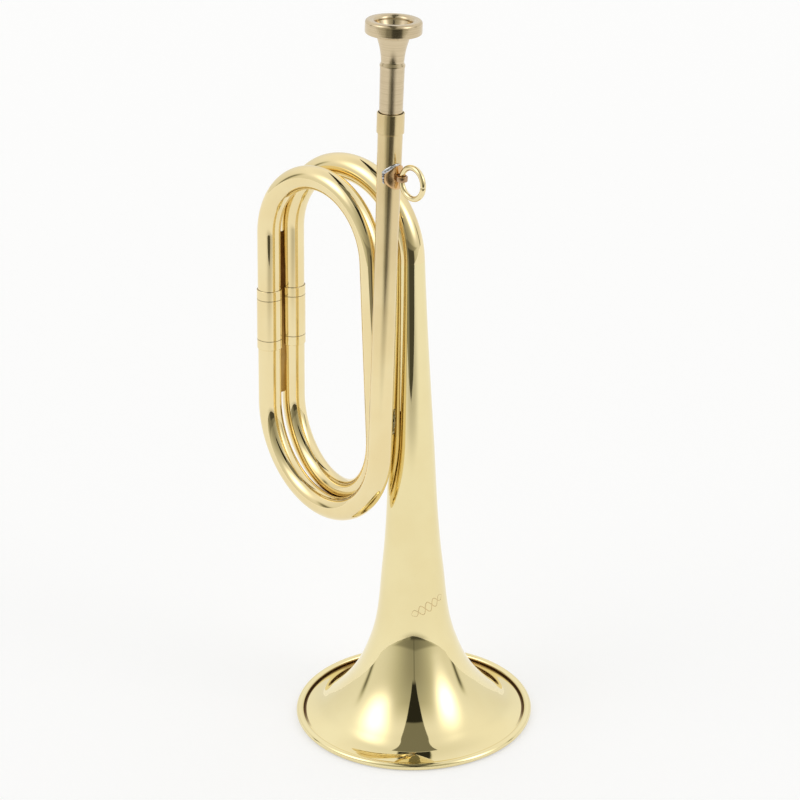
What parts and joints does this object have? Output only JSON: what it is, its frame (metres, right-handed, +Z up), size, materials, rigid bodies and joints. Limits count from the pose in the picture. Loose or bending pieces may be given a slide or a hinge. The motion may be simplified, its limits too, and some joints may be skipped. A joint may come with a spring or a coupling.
{
  "type": "bugle",
  "caption": "Coiled brass bugle with a flared bell, tapered tubing, a pull-out mouthpiece and a ring for a cord.",
  "frame": {"origin": "centre of the bell mouth, on the plane the bell rim stands on", "axes": "+Z up the bell axis towards the mouthpiece end, the coils towards -X, the leadpipe on the -Y side"},
  "size_m": [0.1586, 0.128, 0.3867],
  "materials": {
    "lacquered_brass": "polished and lacquered",
    "raw_brass": "turned, not lacquered",
    "solder": "soft solder, dull with bright spots"
  },
  "bodies": {
    "bugle": {"bell": "lacquered_brass", "bell_rim_wire": "lacquered_brass", "rear_upper_bow": "lacquered_brass", "rear_ferrule": "lacquered_brass", "rear_lower_bow": "lacquered_brass", "middle_tube": "lacquered_brass", "front_upper_bow": "lacquered_brass", "front_ferrule": "lacquered_brass", "front_lower_bow": "lacquered_brass", "leadpipe": "lacquered_brass", "mouthpiece_receiver": "lacquered_brass", "ring_saddle": "lacquered_brass", "ring_eye": "raw_brass", "saddle_solder": "solder", "ferrule_solder": "solder", "bell_solder": "solder", "leadpipe_solder": "solder", "upper_bow_solder": "solder", "lower_bow_solder": "solder"},
    "mouthpiece": {"mouthpiece": "raw_brass"},
    "ring": {"carrying_ring": "lacquered_brass"}
  },
  "joints": [
    {"name": "mouthpiece_pull", "type": "slide", "parent": "bugle", "child": "mouthpiece", "axis": [0.0487, 0.0102, 0.9988], "range_m": [0, 0.04]},
    {"name": "ring_swing", "type": "hinge", "parent": "bugle", "child": "ring", "pos_m": [0.01772, -0.02562, 0.31007], "axis": [0.0487, 0.0102, 0.9988], "range_deg": [-80, 90]}
  ]
}
